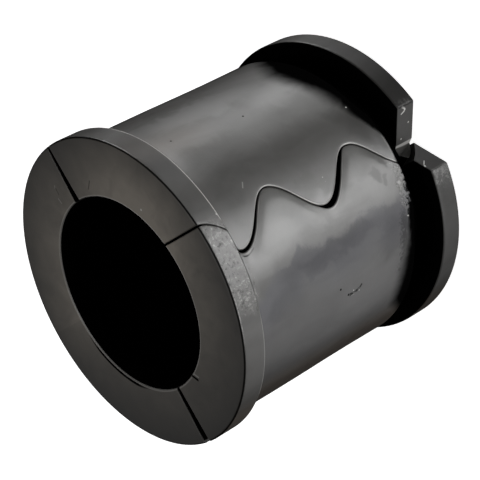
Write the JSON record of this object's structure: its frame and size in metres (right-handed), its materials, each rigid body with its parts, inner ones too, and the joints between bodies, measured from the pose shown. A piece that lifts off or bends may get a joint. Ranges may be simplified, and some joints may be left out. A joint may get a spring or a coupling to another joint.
{
  "type": "stabilizer bushing",
  "caption": "Flanged rubber sleeve with a wavy split, relief slits and a notched rear flange, that holds a stabilizer bar in its bracket.",
  "frame": {"origin": "centre of the rear flange's end face, on the bore axis", "axes": "+Z along the bore axis towards the plain front flange; -Y through the split and the rear flange's notch; the relief slits lie along +X and -X"},
  "size_m": [0.072, 0.072, 0.067],
  "materials": {
    "rubber": "semi-matte moulded black rubber, lightly scuffed"
  },
  "bodies": {
    "root": {"bushing": "rubber"}
  },
  "joints": []
}
